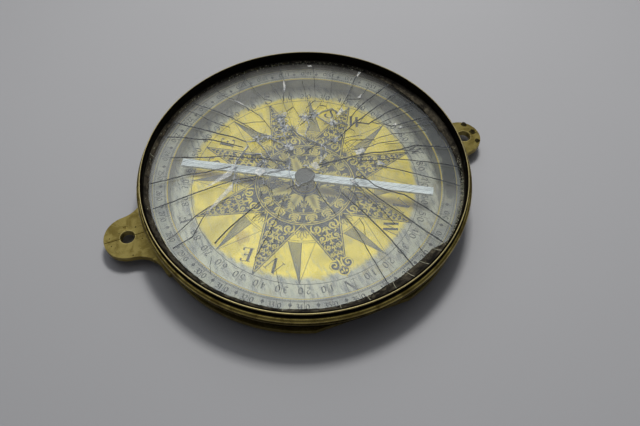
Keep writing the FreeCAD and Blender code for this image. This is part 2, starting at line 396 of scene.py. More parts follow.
STEEL = (0.93, 0.96, 0.98, 1)
STEEL_STREAK = (0.30, 0.335, 0.36, 1)
STEEL_SPOT = (0.25, 0.27, 0.28, 1)
# Near-black bronze: partly the cap's own tone, partly painted shade.
CAP_PAINTED_SHADE = (0.030, 0.031, 0.030, 1)
CAP_WORN_PAINTED_SHADE = (0.075, 0.074, 0.062, 1)
AGATE_BROWN = (0.34, 0.12, 0.06, 1)
AGATE_PALE = (0.62, 0.42, 0.28, 1)
GLASS_TINT = (0.965, 0.985, 0.98, 1)
GLASS_SHADE = (0.93, 0.95, 0.945, 1)
GLASS_DUST = (0.84, 0.82, 0.76, 1)
CRACK_BLACK = (0.02, 0.025, 0.03, 1)
CRACK_GREY = (0.10, 0.11, 0.12, 1)
CRACK_BLUE = (0.30, 0.34, 0.40, 1)
CRACK_PALE = (0.86, 0.90, 0.94, 1)
CRUSHED_GREY = (0.30, 0.34, 0.38, 1)
CRUSHED_WHITE = (0.90, 0.92, 0.93, 1)
# Colours for the painted reflections on the glass.
GLINT_GREY = (0.55, 0.58, 0.60, 1)
GLINT_WHITE = (0.92, 0.91, 0.84, 1)
PUTTY_BLACK = (0.006, 0.005, 0.004, 1)
PUTTY_BROWN = (0.050, 0.043, 0.030, 1)
PUTTY_GREY = (0.13, 0.115, 0.08, 1)
PUTTY_TAN = (0.34, 0.26, 0.15, 1)
SCALE_BUFF = (0.40, 0.37, 0.27, 1)
SCALE_PALE = (0.62, 0.60, 0.50, 1)
VERDIGRIS = (0.20, 0.23, 0.17, 1)
TABLE_GREY = (0.32, 0.322, 0.336, 1)
TABLE_PALE = (0.355, 0.357, 0.372, 1)
ROOM_DIM = (0.050, 0.050, 0.053, 1)
ROOM_BRIGHT = (0.97, 0.99, 1.02, 1)


def turned_brass():
    """The case wall: bright lip and bead, a painted highlight on the lip's top edge, and painted shade that
    blackens the groove, the band under the bead and the inner face above the glass.
    """
    look, spot = new_finish("turned_brass")
    _, _, z, radius = look.split(spot)
    blotch = look.noise(spot, 0.16, 5.0, 0.6, 0.6)
    fine = look.noise(spot, 1.4, 4.0, 0.6)
    rings = look.noise(look.stretched(spot, (0.02, 0.02, 9.0)), 1.0, 3.0)
    height = z - LIP_TOP
    inside = radius.rise(LIP_IN_R + 0.15, LIP_IN_R - 0.15)
    groove = height.rise(-0.45, -0.8) * height.rise(-3.2, -2.7) * radius.rise(71.0, 70.2)
    below_bead = height.rise(-4.7, -5.3) * 0.7 + height.rise(-7.3, -8.0) * 0.4
    # Painted shade: black in the groove, under the bead and on the inner face above the glass.
    painted_shade = (inside + groove + below_bead * (0.6 + 0.8 * fine)).clamped()
    bright = look.mix(blotch.rise(0.38, 0.66), BRASS_LIGHT, BRASS_DEEP)
    # Painted highlight: pale brass along the lip's top edge.
    lip_highlight = height.rise(-0.25, -0.05) * (1.0 - inside)
    bright = look.mix(lip_highlight * 0.7, bright, BRASS_LIP_HIGHLIGHT)
    colour = look.mix(painted_shade, bright, BRASS_DARK)
    rough = 0.18 + 0.18 * blotch + 0.45 * painted_shade
    return look.done(look.metal(colour, rough, 1.0, look.bump(rings + 0.4 * fine, 0.25, 0.05)))


def plate_brass():
    """The lugs and the base plate: rubbed, mottled brass, with painted shade on the faces below the top."""
    look, spot = new_finish("plate_brass")
    x, y, z, _ = look.split(spot)
    blotch = look.noise(spot, 0.22, 6.0, 0.62, 0.8)
    fine = look.noise(spot, 2.2, 5.0, 0.7)
    scratch = look.noise(look.stretched(spot, (0.35, 7.0, 1.0), 24.0), 1.0, 2.0)
    pits = look.add("ShaderNodeTexVoronoi", None, {"Vector": spot, "Scale": 0.55})
    pit = pits.rise(0.16, 0.06) * fine.rise(0.45, 0.60)
    face = z.rise(PLATE_TOP - 0.12, PLATE_TOP - 0.02)
    colour = look.mix(blotch.rise(0.36, 0.64), PLATE_BRASS, PLATE_BRASS_DEEP)
    colour = look.mix(fine.rise(0.52, 0.72) * 0.45, colour, PLATE_BRASS_SCUFFED)
    rim = distance(x.maths("ABSOLUTE", x) - LUG_HOLE_X, y).rise(LUG_HOLE_R + 0.8, LUG_HOLE_R + 0.5)
    colour = look.mix(rim * 0.7, colour, LUG_HOLE_RIM)
    colour = look.mix(pit * 0.8, colour, BRASS_DARK)
    # Painted shade: the faces below the top face are darkened.
    colour = look.mix((1.0 - face) * 0.35, colour, BRASS_DEEP)
    rough = 0.34 + 0.20 * blotch + 0.15 * fine
    relief = look.bump(fine + 0.6 * scratch - 0.8 * pit, 0.35, 0.05)
    return look.done(look.metal(colour, rough, 1.0 - 0.6 * pit, relief))


def plain_brass(name, tone=0.0):
    """Small brass pieces, darker where tone is higher."""
    look, spot = new_finish(name)
    blotch = look.noise(spot, 0.7, 5.0, 0.6, 0.4)
    light = between(BRASS_LIGHT, BRASS_DARK, tone)
    deep = between(BRASS_DEEP, BRASS_DARK, tone)
    colour = look.mix(blotch.rise(0.4, 0.62), light, deep)
    return look.done(look.metal(colour, 0.32 + 0.25 * blotch, 1.0, look.bump(blotch, 0.2, 0.05)))


def dial_face():
    """Gilt inside the star's circle, silvered outside, with the gilding worn through in places."""
    look, spot = new_finish("dial_face")
    x, y, _, radius = look.split(spot)
    cloud = look.noise(spot, 0.11, 4.0, 0.6, 0.5)
    wisps = look.noise(look.stretched(spot, (0.5, 0.12, 1.0), 30.0), 1.0, 5.0, 0.65)
    brushing = look.noise(look.stretched(spot, (0.3, 6.0, 1.0), -52.0), 1.0, 3.0)
    grain = look.noise(spot, 3.5, 3.0)
    edge = CIRCLE_R - 0.5 + y * 0.055 + (cloud - 0.5) * 7.0
    silver_side = (radius - edge + 4.0 * (wisps - 0.5)).rise(-1.2, 1.6)
    worn = (wisps.rise(0.52, 0.66) * 0.55 * radius.rise(8.0, 34.0)
            + cloud.rise(0.60, 0.72) * 0.25).clamped()
    rubbed = brushing.rise(0.60, 0.75) * 0.20
    gilt = look.mix(cloud.rise(0.35, 0.62), GILT, GILT_DEEP)
    gilt = look.mix(worn, gilt, GILT_WORN)
    gilt = look.mix(rubbed, gilt, GILT_RUBBED)
    stain = (distance(x + 34.0, y + 17.0) + 9.0 * (wisps - 0.5)).rise(4.2, 2.2)
    gilt = look.mix(stain * 0.6, gilt, BROWN_STAIN)
    silver = look.mix(wisps.rise(0.40, 0.66), SILVERED, SILVER_DULL)
    silver = look.mix(cloud.rise(0.56, 0.68) * 0.5, silver, SILVER_YELLOWED)
    colour = look.mix(silver_side, gilt, silver)
    rough = 0.22 + 0.10 * cloud + 0.06 * grain + 0.03 * silver_side
    return look.done(look.metal(colour, rough, 0.78, look.bump(brushing + 0.5 * grain, 0.10, 0.03)))


def ring_face():
    """Silvered on top, brass at the inner and outer edges, with a painted shadow of the case wall on its +X
    side.
    """
    look, spot = new_finish("ring_face")
    x, _, z, radius = look.split(spot)
    cloud = look.noise(spot, 0.14, 5.0, 0.62, 0.5)
    grain = look.noise(spot, 2.6, 4.0, 0.6)
    face = z.rise(RING_TOP - 0.5, RING_TOP - 0.3)
    bevel = (radius.rise(RING_IN_R + 0.6, RING_IN_R + 0.42) * face
             + radius.rise(RING_OUT_R - 0.35, RING_OUT_R - 0.2)).clamped()
    silver = look.mix(cloud.rise(0.36, 0.66), SILVERED, SILVER_GREYED)
    silver = look.mix(grain.rise(0.60, 0.75) * 0.5, silver, SILVER_DULL)
    stain = cloud.rise(0.60, 0.70) * grain.rise(0.5, 0.62)
    silver = look.mix(stain * 0.7, silver, SILVER_STAINED)
    # Painted shadow: the case wall's shadow, near black, over the outer part of the ring on the +X side.
    painted_wall_shadow = (x / radius).rise(0.78, 0.92) * (radius + 5.0 * (cloud - 0.5)).rise(59.0, 62.0)
    silver = look.mix(painted_wall_shadow * 0.95, silver, WALL_SHADOW_BLACK)
    colour = look.mix(bevel, silver, RING_EDGE_BRASS)
    rough = 0.36 + 0.16 * cloud + 0.08 * grain
    return look.done(look.metal(colour, rough, 0.8, look.bump(grain, 0.15, 0.03)))


def engraved(name, colour, worn, rough=0.6):
    """Wax-filled engraving, with a little of it rubbed out."""
    look, spot = new_finish(name)
    cloud = look.noise(spot, 0.35, 4.0, 0.6)
    grain = look.noise(spot, 4.0, 3.0)
    mixed = look.mix((cloud.rise(0.45, 0.72) * 0.45 + grain.rise(0.58, 0.75) * 0.3).clamped(), colour, worn)
    return look.done(look.metal(mixed, rough + 0.1 * grain, 0.6 + 0.3 * cloud, look.bump(grain, 0.2, 0.03)))


def scroll_gilt():
    """The dial's gilding, duller towards the pivot."""
    look, spot = new_finish("scroll_gilt")
    radius = look.split(spot)[3]
    cloud = look.noise(spot, 0.18, 4.0, 0.6)
    grain = look.noise(spot, 3.0, 4.0, 0.65)
    colour = look.mix(cloud.rise(0.36, 0.62), GILT, SCROLL_GILT_SOFT)
    worn = (grain.rise(0.50, 0.66) * 0.5 + radius.rise(26.0, 12.0) * 0.3).clamped()
    colour = look.mix(worn, colour, SCROLL_GILT_WORN)
    return look.done(look.metal(colour, 0.32 + 0.12 * grain, 0.60, look.bump(grain, 0.15, 0.03)))


def needle_steel():
    """Blued-white brushed steel, streaked along the bar."""
    look, spot = new_finish("needle_steel")
    streak = look.noise(look.stretched(spot, (0.12, 3.2, 1.0), -NEEDLE_AZ), 1.0, 6.0, 0.7)
    spots = look.noise(spot, 1.1, 5.0, 0.65)
    colour = look.mix(streak.rise(0.44, 0.68), STEEL, STEEL_STREAK)
    colour = look.mix(spots.rise(0.60, 0.72) * 0.6, colour, STEEL_SPOT)
    return look.done(look.metal(colour, 0.34 + 0.22 * streak, 0.7, look.bump(streak, 0.4, 0.05)))


def cap_bronze():
    """Bronze with a little wear, painted near black partly for the shade that the cap sits in."""
    look, spot = new_finish("cap_bronze")
    cloud = look.noise(spot, 0.9, 5.0, 0.6, 0.4)
    colour = look.mix(cloud.rise(0.4, 0.64), CAP_PAINTED_SHADE, CAP_WORN_PAINTED_SHADE)
    return look.done(look.metal(colour, 0.38 + 0.2 * cloud, 0.9, look.bump(cloud, 0.2, 0.05)))


def agate():
    """Banded red-brown stone."""
    look, spot = new_finish("agate")
    bands = look.add("ShaderNodeTexWave", None, {"Vector": spot, "Scale": 0.7, "Distortion": 5.0})
    colour = look.mix(bands, AGATE_BROWN, AGATE_PALE)
    return look.done(look.metal(colour, 0.2 + 0.1 * bands, 0.0))


def clear_glass():
    """Old glass under a film of dust, cleaner by the rim on its +X side. The lamp's rays pass it."""
    look, spot = new_finish("clear_glass")
    film = look.noise(spot, 0.05, 5.0, 0.6, 0.8)
    specks = look.noise(spot, 1.6, 3.0, 0.6)
    x, _, _, radius = look.split(spot)
    wiped = (x / radius).rise(0.80, 0.95) * radius.rise(50.0, 60.0)
    dust = 0.030 + 0.035 * film.rise(0.35, 0.7) + 0.025 * specks.rise(0.62, 0.75)
    dust = dust * (1.0 - 0.9 * wiped)
    glass = look.add("ShaderNodeBsdfGlass", None, {"Color": GLASS_TINT, "Roughness": 0.0, "IOR": 1.5})
    opening = look.add("ShaderNodeBsdfTransparent", None, {"Color": GLASS_SHADE})
    shadow = look.add("ShaderNodeLightPath", out="Is Shadow Ray")
    pane = look.add("ShaderNodeMixShader", None, {0: shadow, 1: glass, 2: opening})
    film_shader = look.add("ShaderNodeBsdfDiffuse", None, {"Color": GLASS_DUST})
    return look.done(look.add("ShaderNodeMixShader", None, {0: dust, 1: pane, 2: film_shader}))


def fracture(name, dark, light, cover, rough=0.25):
    """A crack's face in the glass: part of it shows, part of it is seen through."""
    look, spot = new_finish(name)
    cloud = look.noise(spot, 0.5, 4.0, 0.65)
    grain = look.noise(spot, 3.0, 3.0)
    colour = look.mix(cloud.rise(0.42, 0.66), dark, light)
    solid = look.metal(colour, rough + 0.2 * grain, 0.0)
    hole = look.add("ShaderNodeBsdfTransparent")
    share = (cover * (0.65 + 0.7 * cloud)).clamped()
    return look.done(look.add("ShaderNodeMixShader", None, {0: share, 1: hole, 2: solid}))


def old_putty():
    """Chalky putty, from near black to grey-brown, with tan streaks low down."""
    look, spot = new_finish("old_putty")
    z = look.split(spot)[2]
    cloud = look.noise(spot, 0.16, 6.0, 0.65, 1.0)
    grain = look.noise(spot, 1.3, 6.0, 0.7)
    streak = look.noise(look.stretched(spot, (0.6, 0.6, 3.0)), 1.0, 4.0, 0.6, 0.6)
    low = z.rise(GLASS_TOP + 1.3, GLASS_TOP + 0.35)
    colour = look.mix(cloud.rise(0.40, 0.66), PUTTY_BLACK, PUTTY_BROWN)
    colour = look.mix(low * streak.rise(0.50, 0.66) * 0.6, colour, PUTTY_GREY)
    colour = look.mix(low * grain.rise(0.60, 0.72) * cloud.rise(0.45, 0.6), colour, PUTTY_TAN)
    relief = look.bump(grain + 0.8 * cloud, 0.9, 0.35)
    return look.done(look.metal(colour, 0.62 + 0.25 * grain, 0.0, relief, Specular_IOR_Level=0.2))


def crust():
    """Pale scale and verdigris where the putty has gone."""
    look, spot = new_finish("crust")
    cloud = look.noise(spot, 0.7, 5.0, 0.65)
    grain = look.noise(spot, 2.8, 5.0, 0.7)
    colour = look.mix(cloud.rise(0.38, 0.62), SCALE_BUFF, VERDIGRIS)
    colour = look.mix(grain.rise(0.58, 0.7) * 0.7, colour, SCALE_PALE)
    return look.done(look.metal(colour, 0.7 + 0.2 * grain, 0.0, look.bump(grain, 0.9, 0.3)))


def table_top():
    """Pale grey, almost even."""
    look, spot = new_finish("table_top")
    cloud = look.noise(spot, 0.004, 3.0)
    colour = look.mix(cloud, TABLE_GREY, TABLE_PALE)
    return look.done(look.metal(colour, 0.6 + 0.1 * cloud, 0.0))


# ---- Glyphs, in a box one unit high: strokes are (weight, points), weight None by direction ----

GLYPHS = {
    "0": [(None, [(0.30, 0.98), (0.08, 0.80), (0.04, 0.50), (0.08, 0.20), (0.30, 0.02), (0.52, 0.20),
                  (0.56, 0.50), (0.52, 0.80), (0.30, 0.98)])],
    "1": [(1.0, [(0.30, 0.98), (0.30, 0.02)]), (0.0, [(0.30, 0.98), (0.12, 0.84)]),
          (0.0, [(0.12, 0.02), (0.48, 0.02)])],
    "2": [(None, [(0.07, 0.74), (0.16, 0.94), (0.36, 0.98), (0.52, 0.80), (0.44, 0.55), (0.22, 0.28),
                  (0.05, 0.05)]), (0.5, [(0.05, 0.04), (0.56, 0.04)])],
    "3": [(None, [(0.08, 0.86), (0.28, 0.98), (0.48, 0.84), (0.42, 0.63), (0.24, 0.54)]),
          (None, [(0.24, 0.54), (0.50, 0.45), (0.54, 0.22), (0.32, 0.02), (0.07, 0.13)])],
    "4": [(0.0, [(0.42, 0.98), (0.04, 0.33)]), (0.3, [(0.04, 0.33), (0.58, 0.33)]),
          (1.0, [(0.42, 0.98), (0.42, 0.02)])],
    "5": [(0.4, [(0.52, 0.96), (0.15, 0.96)]), (0.4, [(0.15, 0.96), (0.11, 0.58)]),
          (None, [(0.11, 0.58), (0.32, 0.66), (0.53, 0.48), (0.52, 0.18), (0.30, 0.02), (0.06, 0.12)])],
    "6": [(None, [(0.50, 0.93), (0.26, 0.88), (0.08, 0.58), (0.08, 0.22), (0.30, 0.02), (0.52, 0.20),
                  (0.50, 0.44), (0.30, 0.56), (0.10, 0.42)])],
    "7": [(0.4, [(0.06, 0.96), (0.56, 0.96)]), (None, [(0.56, 0.96), (0.34, 0.55), (0.22, 0.02)])],
    "8": [(None, [(0.30, 0.54), (0.11, 0.66), (0.12, 0.90), (0.30, 0.98), (0.48, 0.90), (0.49, 0.66),
                  (0.30, 0.54)]),
          (None, [(0.30, 0.54), (0.06, 0.40), (0.06, 0.14), (0.30, 0.02), (0.54, 0.14), (0.54, 0.40),
                  (0.30, 0.54)])],
    "9": [(None, [(0.10, 0.07), (0.34, 0.12), (0.52, 0.42), (0.52, 0.78), (0.30, 0.98), (0.08, 0.80),
                  (0.10, 0.56), (0.30, 0.44), (0.50, 0.58)])],
    "N": [(0.0, [(0.12, 0.0), (0.12, 1.0)]), (1.4, [(0.12, 1.0), (0.80, 0.0)]),
          (0.0, [(0.80, 0.0), (0.80, 1.0)]), (0.0, [(-0.02, 1.0), (0.20, 1.0)]),
          (0.0, [(0.66, 1.0), (0.94, 1.0)]), (0.0, [(-0.02, 0.0), (0.26, 0.0)])],
    "E": [(1.4, [(0.22, 0.0), (0.22, 1.0)]), (0.0, [(0.04, 1.0), (0.68, 1.0)]),
          (0.0, [(0.22, 0.52), (0.54, 0.52)]), (0.0, [(0.04, 0.0), (0.72, 0.0)]),
          (0.6, [(0.68, 1.0), (0.68, 0.82)]), (0.6, [(0.54, 0.60), (0.54, 0.44)]),
          (0.6, [(0.72, 0.0), (0.74, 0.20)])],
    "S": [(None, [(0.60, 0.80), (0.42, 0.98), (0.18, 0.92), (0.10, 0.72), (0.34, 0.54), (0.60, 0.38),
                  (0.62, 0.14), (0.38, 0.01), (0.14, 0.06), (0.08, 0.24)]),
          (0.5, [(0.60, 0.96), (0.60, 0.76)]), (0.5, [(0.08, 0.28), (0.08, 0.04)])],
    "W": [(1.3, [(0.02, 1.0), (0.28, 0.0)]), (0.0, [(0.28, 0.0), (0.50, 0.94)]),
          (1.3, [(0.46, 1.0), (0.72, 0.0)]), (0.0, [(0.72, 0.0), (0.96, 1.0)]),
          (0.0, [(-0.10, 1.0), (0.16, 1.0)]), (0.0, [(0.36, 1.0), (0.58, 1.0)]),
          (0.0, [(0.86, 1.0), (1.08, 1.0)])],
}
GLYPH_WIDTHS = {"N": 0.92, "E": 0.78, "S": 0.7, "W": 0.98}
PEN_ANGLE = 35.0


def stroke_widths(path, weight, thin, thick):
    """Broad where the burin is drawn downwards, thin along the level."""
    widths = []
    for i in range(len(path)):
        x0, y0 = path[max(i - 1, 0)]
        x1, y1 = path[min(i + 1, len(path) - 1)]
        share = weight
        if weight is None:
            share = abs(math.sin(math.atan2(y1 - y0, x1 - x0) - math.radians(PEN_ANGLE))) ** 1.5
        widths.append(thin + (thick - thin) * share)
    return widths


def cut_glyph(solid, glyph, centre, up, height, thin, thick, slant=0.0):
    """Cuts one letter or figure. up is the direction of its top."""
    half = GLYPH_WIDTHS.get(glyph, 0.6) / 2
    for weight, points in GLYPHS[glyph]:
        path = smooth(points)
        path = [((y - 0.5) * height, -(x - half + slant * (y - 0.5)) * height) for x, y in path]
        path = placed(path, centre, up)
        solid.ribbon(path, stroke_widths([(-b, a) for a, b in turned(path, -up)], weight, thin, thick))


# ---- Leaves and scrolls ----

def teardrop(solid, start, direction, length, width, curl=0.0):
    """A lobe that is narrow at its root, full past its middle and pointed."""
    path, widths = [], []
    steps = 6
    x, y = start
    for i in range(steps + 1):
        t = i / steps
        path.append((x, y))
        widths.append(max(0.05, width * math.sin(math.pi * t ** 0.75) + 0.12 * width * (1 - t)))
        heading = math.radians(direction + curl * t)
        x += length / steps * math.cos(heading)
        y += length / steps * math.sin(heading)
    solid.ribbon(path, widths)


def petal(solid, start, direction, length, width):
    """The outline of a petal and its vein."""
    for side in (-1, 1):
        edge = smooth([(0.15 * length, 0.0), (0.5 * length, side * 0.36 * width),
                       (0.82 * length, side * 0.42 * width), (length, 0.0)], 3)
        solid.ribbon(placed(edge, start, direction), CUT)
    vein = [(0.1 * length, 0), (0.6 * length, 0)]
    solid.ribbon(placed(vein, start, direction), [0.34, 0.1])


def leaf(solid, start, direction, length, spread, pairs=3):
    """A rib with lobes on both sides, shrinking towards the tip."""
    for k in range(pairs):
        t = k / pairs
        root = placed([(length * t, 0)], start, direction)[0]
        reach = spread * (1.0 - 0.45 * t)
        for side in (-1, 1):
            teardrop(solid, root, direction + side * (66 - 26 * t), reach, reach * 0.34, -side * 24)
    teardrop(solid, start, direction, length, spread * 0.34)


def scroll(solid, centre, radius, start, hand, width, turns=1.35, axis=0.0, side=1):
    """A stem that winds in to a berry, with lobes on its outer side."""
    path, widths = [], []
    steps = 20
    for i in range(steps + 1):
        t = i / steps
        angle = math.radians(start + hand * 360.0 * turns * t)
        reach = radius * (1.0 - 0.80 * t ** 0.85)
        path.append((centre[0] + reach * math.cos(angle), side * (centre[1] + reach * math.sin(angle))))
        widths.append(width * (0.55 + 0.75 * math.sin(math.pi * min(1.0, 0.15 + t))))
    solid.ribbon(turned(path, axis), widths)
    solid.dot(*along(centre[0], side * centre[1], axis), width * 0.95, 8)
    for k in range(3):
        angle = start + hand * (60 + 80 * k)
        u, v = placed([(0.92 * radius, 0)], centre, angle)[0]
        root = along(u, side * v, axis)
        teardrop(solid, root, axis + side * (angle + hand * 38), radius * 0.62, width * 0.95,
                 side * hand * 50)


# ---- Dial ----

INLAY = 0.02             # how far engraved work stands off the metal that carries it


def half_width(u):
    """Half the width of a main point of the star at a distance from the centre."""
    return VALLEY_R * math.sin(math.radians(22.5)) * (TIP_R - u) / (TIP_R - ROOT_U)


HUB_R = 5.0              # bare centre of the rosette
FLEUR_DISCS = [(44.0, 2.9, 2.3), (44.0, -2.9, 2.3), (47.0, 0.0, 2.3), (42.3, 0.0, 1.6)]


def dial_ground(finish):
    """Dark matted ground of the rosette, the eight points and the north point's fleur."""
    solid = Solid("dial_ground", DIAL_TOP, DIAL_TOP + INLAY)
    solid.circle((VALLEY_R + HUB_R) / 2, VALLEY_R - HUB_R)
    solid.low, solid.high = DIAL_TOP - 0.01, DIAL_TOP + INLAY - 0.004
    root = ROOT_U - 0.3
    for k in range(8):
        axis = 45.0 * k
        tip = FLEUR_U + 0.2 if axis == NORTH else TIP_R - 0.7
        ends = [(root, half_width(root)), (tip, max(0.03, half_width(tip)))]
        solid.band(turned(ends, axis), turned([(u, -v) for u, v in ends], axis))
    for u, v, radius in FLEUR_DISCS:
        # Each disc is a hair lower than the last, so that no two faces lie in one plane.
        solid.low -= 0.001
        solid.high -= 0.001
        solid.dot(*along(u, v, NORTH), radius, 24)
    return solid.piece(finish, "case")


# Scrolls along a point: distance, share of its half-width, radius.
POINT_SCROLLS = [(24.6, 0.50, 2.75), (30.0, 0.50, 2.05), (34.6, 0.50, 1.55), (38.4, 0.50, 1.15),
                 (41.3, 0.50, 0.82), (43.6, 0.50, 0.58), (45.5, 0.50, 0.40)]


def dial_scrollwork(finish):
    """Gilt scrolls and leaves that stand on the dark ground."""
    solid = Solid("dial_scrollwork", DIAL_TOP + INLAY - 0.012, DIAL_TOP + 2 * INLAY)
    for k in range(8):
        axis = 45.0 * k
        north = axis == NORTH
        for n, (u, share, radius) in enumerate(POINT_SCROLLS):
            if north and u > FLEUR_U - 2.0:
                break
            v = half_width(u) * share
            for side in (-1, 1):
                hand = 1 if n % 2 else -1
                start = 150.0 if hand < 0 else -150.0
                scroll(solid, (u, v), radius, start, hand, 0.16 + 0.17 * radius, 1.3, axis, side)
                gap = half_width(u + 1.3 * radius)
                root = along(u + 0.95 * radius, side * gap * 0.82, axis)
                teardrop(solid, root, axis + side * 200, radius * 1.1, radius * 0.36, side * 40)
            root = along(u + 0.35 * radius, 0.0, axis)
            leaf(solid, root, axis, 1.9 * radius, 0.95 * radius, 2)
        for side in (-1, 1):
            ends = [(u, side * (half_width(u) - 0.42)) for u in (ROOT_U, FLEUR_U if north else TIP_R - 2.2)]
            solid.ribbon(turned(ends, axis), [0.36, 0.26])
    north_fleur(solid)
    rosette(solid)
    return solid.piece(finish, "case")


def north_fleur(solid):
    """Two volutes and a bulb with a stem at the tip of the north point."""
    for side in (-1, 1):
        stem = smooth([(40.6, side * 1.2), (42.6, side * 0.5), (44.6, side * 0.7), (45.9, side * 1.7),
                       (46.1, side * 3.1), (45.0, side * 4.5), (43.2, side * 4.6), (42.3, side * 3.4),
                       (42.9, side * 2.2), (44.2, side * 2.3), (44.5, side * 3.2)])
        solid.ribbon(turned(stem, NORTH), [0.75 - 0.25 * i / len(stem) for i in range(len(stem))])
        solid.dot(*along(44.1, side * 3.1, NORTH), 0.42, 8)
        bulb = smooth([(45.2, side * 0.4), (46.0, side * 1.9), (47.6, side * 2.2), (48.8, side * 1.1),
                       (49.3, 0.0)])
        solid.ribbon(turned(bulb, NORTH), 0.5)
        solid.dot(*along(47.3, side * 1.0, NORTH), 0.5, 8)
    solid.ribbon(turned([(48.9, 0), (50.3, 0)], NORTH), 0.35)
    teardrop(solid, along(45.4, 0, NORTH), NORTH, 2.6, 0.5)


def rosette(solid):
    """Rings of leaves round the pivot."""
    for radius, width in ((22.0, 0.35), (21.2, 0.16), (16.6, 0.34), (15.9, 0.2), (6.3, 0.3)):
        solid.circle(radius, width)
    for k in range(16):
        azimuth = 22.5 * k + 11.25
        leaf(solid, polar(16.6, azimuth), azimuth, 4.3, 2.5, 4)
        for side in (-1, 1):
            teardrop(solid, polar(17.2, azimuth + side * 6.5), azimuth + side * 18, 2.9, 0.75, -side * 40)
            teardrop(solid, polar(20.9, azimuth + side * 2.2), azimuth + side * 78, 1.9, 0.62, side * 30)
    for k in range(8):
        azimuth = 45.0 * k
        leaf(solid, polar(7.0, azimuth), azimuth, 8.4, 4.3, 6)
        for side in (-1, 1):
            scroll(solid, (11.8, 0.0), 1.25, 180.0, -1, 0.34, 1.2, azimuth + 22.5, side)
        teardrop(solid, polar(13.6, azimuth + 22.5), azimuth + 22.5, 2.2, 0.8)


def dial_lines(finish):
    """Dark cut lines on the gilt and on the silvered band."""
    solid = Solid("dial_lines", DIAL_TOP, DIAL_TOP + INLAY)
    solid.circle(CIRCLE_R, 0.26)
    for k in range(8):
        axis = 45.0 * k
        tip = FLEUR_U if axis == NORTH else TIP_R - 0.5
        for side in (-1, 1):
            ends = [(u, side * (half_width(u) + 0.06)) for u in (VALLEY_R * 0.92, tip)]
            solid.ribbon(turned(ends, axis), CUT)
        valley = axis + 22.5
        for radius, reach in ((HALF_BASE_R - 0.9, 10.6), (HALF_BASE_R, 11.4)):
            solid.circle(radius, 0.95 * CUT, valley - reach, valley + reach, 1.5)
        half_point(solid, valley)
        for lean, length in ((-52, 3.6), (-34, 5.0), (-17, 6.0), (0, 6.6), (17, 6.0), (34, 5.0), (52, 3.6)):
            petal(solid, polar(VALLEY_R + 0.6, valley), valley + lean, length, 1.15)
    return solid.piece(finish, "case")


def half_point(solid, axis):
    """The sides and the middle line of a narrow point."""
    tip = polar(HALF_TIP_R, axis)
    for lean in (-HALF_SPREAD, 0.0, HALF_SPREAD):
        solid.line(polar(HALF_BASE_R, axis + lean), tip, CUT)


def half_point_shading(finish):
    """Hatching on one half of each narrow point."""
    solid = Solid("half_point_shading", DIAL_TOP - 0.005, DIAL_TOP + 0.5 * INLAY)
    lines = 11
    for k in range(8):
        axis = 45.0 * k + 22.5
        for n in range(lines):
            start = polar(HALF_BASE_R + 0.15, axis - (HALF_SPREAD - 0.2) * (n + 0.5) / lines)
            end = between(start, polar(HALF_TIP_R - 0.3, axis - 0.12), 0.97)
            solid.ribbon([start, end], [0.34, 0.05])
    return solid.piece(finish, "case")


def dial_figures(finish):
    """Letters for the winds and figures of the four quadrants, with their tops outwards."""
    solid = Solid("dial_figures", DIAL_TOP, DIAL_TOP + INLAY)
    for k, letter in enumerate("NWSE"):
        wind = NORTH + 90 * k
        cut_glyph(solid, letter, polar(54.4, wind), wind, height=5.2, thin=0.28, thick=0.72)
        for figure in range(1, 9):
            azimuth = wind + 10 * figure
            value = 10 * figure if k % 2 == 0 else 90 - 10 * figure
            solid.line(polar(CIRCLE_R, azimuth), polar(56.3, azimuth), CUT)
            for offset, glyph in ((1.75, str(value)[0]), (-1.75, "0")):
                place = polar(53.3, azimuth + offset)
                cut_glyph(solid, glyph, place, azimuth + offset, height=2.9, thin=0.24, thick=0.56)
    for axis, first, second in ((225, "N", "E"), (315, "N", "W"), (45, "S", "W"), (135, "S", "E")):
        for side, glyph in ((1, first), (-1, second)):
            place = along(43.0, side * 6.3, axis)
            cut_glyph(solid, glyph, place, axis - side * 15.6, height=6.2, thin=0.32, thick=0.95, slant=0.12)
    return solid.piece(finish, "case")


# ---- Degree ring ----

TICKS_END_R = 60.72
FIGURES_IN_R = 61.0
FIGURES_R = 63.1
FIGURES_OUT_R = 65.3
FIGURE_GAP = 1.15        # from a ten's line to the middle of the figure on either side, in degrees
FIGURE_STEP = 1.25       # from one figure to the next


def ring_division(finish):
    """Every degree, every five with a spade, every ten with its figures, tops inwards."""
    solid = Solid("ring_division", RING_TOP, RING_TOP + INLAY)
    for degree in range(360):
        azimuth = NORTH + degree
        end = FIGURES_IN_R if degree % 5 == 0 else TICKS_END_R + 0.03
        solid.line(polar(RING_IN_R + 0.42, azimuth), polar(end, azimuth), 0.17)
    for radius, width in ((TICKS_END_R, 0.18), (FIGURES_IN_R + 0.06, 0.14), (FIGURES_OUT_R, 0.18)):
        solid.circle(radius, width)
    for step in range(36):
        value = 10 * step or 360
        azimuth = NORTH + value
        solid.line(polar(FIGURES_IN_R, azimuth), polar(FIGURES_OUT_R, azimuth), 0.22)
        for place, glyph in enumerate(reversed(str(value))):
            turn = azimuth + (-FIGURE_GAP - FIGURE_STEP * (place - 1) if place else FIGURE_GAP)
            cut_glyph(solid, glyph, polar(FIGURES_R, turn), turn + 180.0, height=2.3, thin=0.22, thick=0.52)
        spade(solid, azimuth + 5.0)
    return solid.piece(finish, "case")


def gap_dust(finish):
    """Grey dust that has settled between the ring and the wall."""
    solid = Solid("gap_dust", RING_TOP - 0.5, RING_TOP - 0.12)
    solid.circle((RING_OUT_R + DUST_OUT_R) / 2, DUST_OUT_R - RING_OUT_R)
    return solid.piece(finish, "case")


def spade(solid, azimuth):
    """A heart-shaped head on a stem, given as distances and half-widths."""
    shape = [(61.1, 0.06), (61.7, 0.09), (62.0, 0.45), (62.6, 0.80), (63.1, 0.40), (63.4, 0.10),
             (64.6, 0.06)]
    solid.band(turned(shape, azimuth), turned([(u, -v) for u, v in shape], azimuth))


